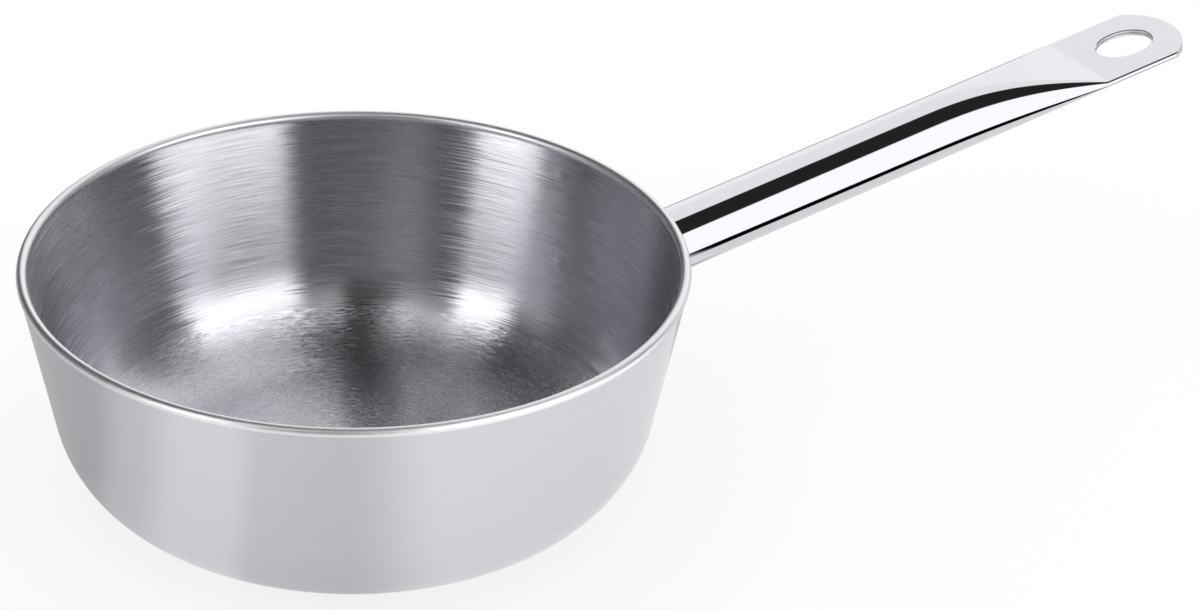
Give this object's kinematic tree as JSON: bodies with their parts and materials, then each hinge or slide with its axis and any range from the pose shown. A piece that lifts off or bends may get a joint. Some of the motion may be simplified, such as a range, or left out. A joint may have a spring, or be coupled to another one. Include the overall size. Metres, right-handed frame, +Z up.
{
  "type": "saucier pan",
  "caption": "Stovetop pan with a round clad bowl, leaning walls, a rounded base corner and a long straight tube handle that flattens to a slotted paddle.",
  "frame": {"origin": "on the bowl's axis, at the underside of the base, where the pan stands", "axes": "+X from the bowl's axis along the handle, +Z up out of the bowl's mouth"},
  "size_m": [0.4097, 0.2, 0.0788],
  "materials": {
    "brushed_inside": "fine round brushed stainless steel with a polished rim",
    "core": "plain aluminium between the steel sheets",
    "satin_outside": "satin polished stainless steel",
    "bracket_steel": "pressed stainless steel, lightly polished",
    "polished_handle": "mirror polished stainless steel",
    "weld_metal": "weld metal, cleaned, with a faint heat tint"
  },
  "bodies": {
    "root": {"inner_sheet": "brushed_inside", "aluminium_core": "core", "outer_sheet": "satin_outside", "handle_bracket": "bracket_steel", "handle_tube": "polished_handle", "handle_weld_seam": "weld_metal", "spot_welds": "weld_metal"}
  },
  "joints": []
}
